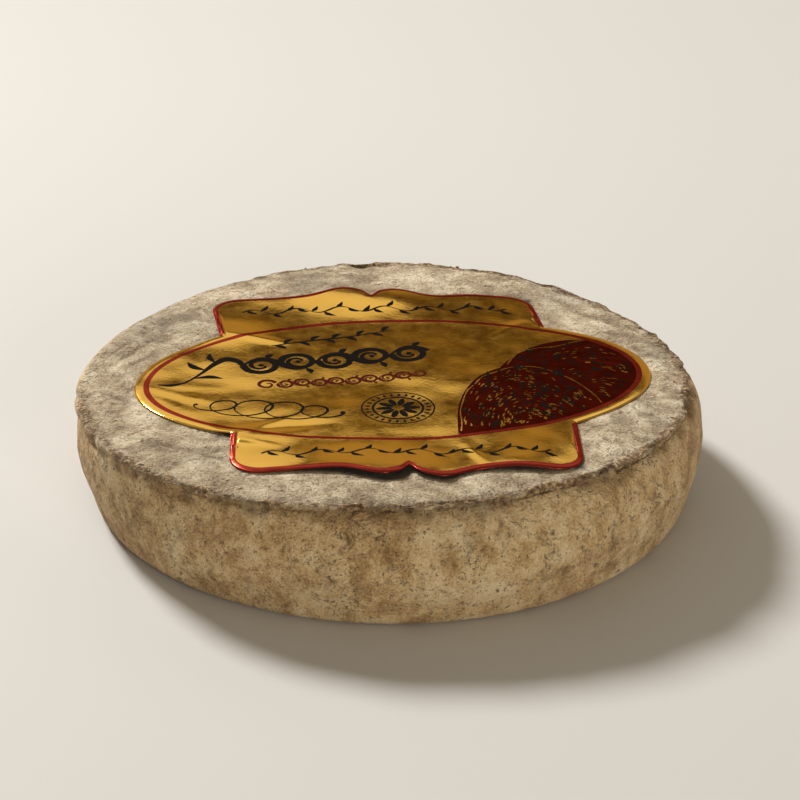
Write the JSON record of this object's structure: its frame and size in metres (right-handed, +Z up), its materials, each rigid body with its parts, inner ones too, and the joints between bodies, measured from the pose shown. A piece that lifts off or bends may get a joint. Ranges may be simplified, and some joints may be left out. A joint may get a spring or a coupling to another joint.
{
  "type": "saint-nectaire cheese wheel",
  "caption": "Low round wheel of semi-soft cow's milk cheese with a grey-beige moulded rind, a torn brown seam round its top edge and a gold foil label lying on it.",
  "frame": {"origin": "under the middle of the wheel, on the surface that it rests on", "axes": "+Z up through the wheel, -Y towards the side where the label's lower banner lies, +X to the right of a viewer on that side"},
  "size_m": [0.2162, 0.2159, 0.0452],
  "materials": {
    "rind": "matt moulded rind",
    "label_foil": "gold foil on paper"
  },
  "bodies": {
    "root": {"cheese_wheel": "rind", "label": "label_foil"}
  },
  "joints": []
}
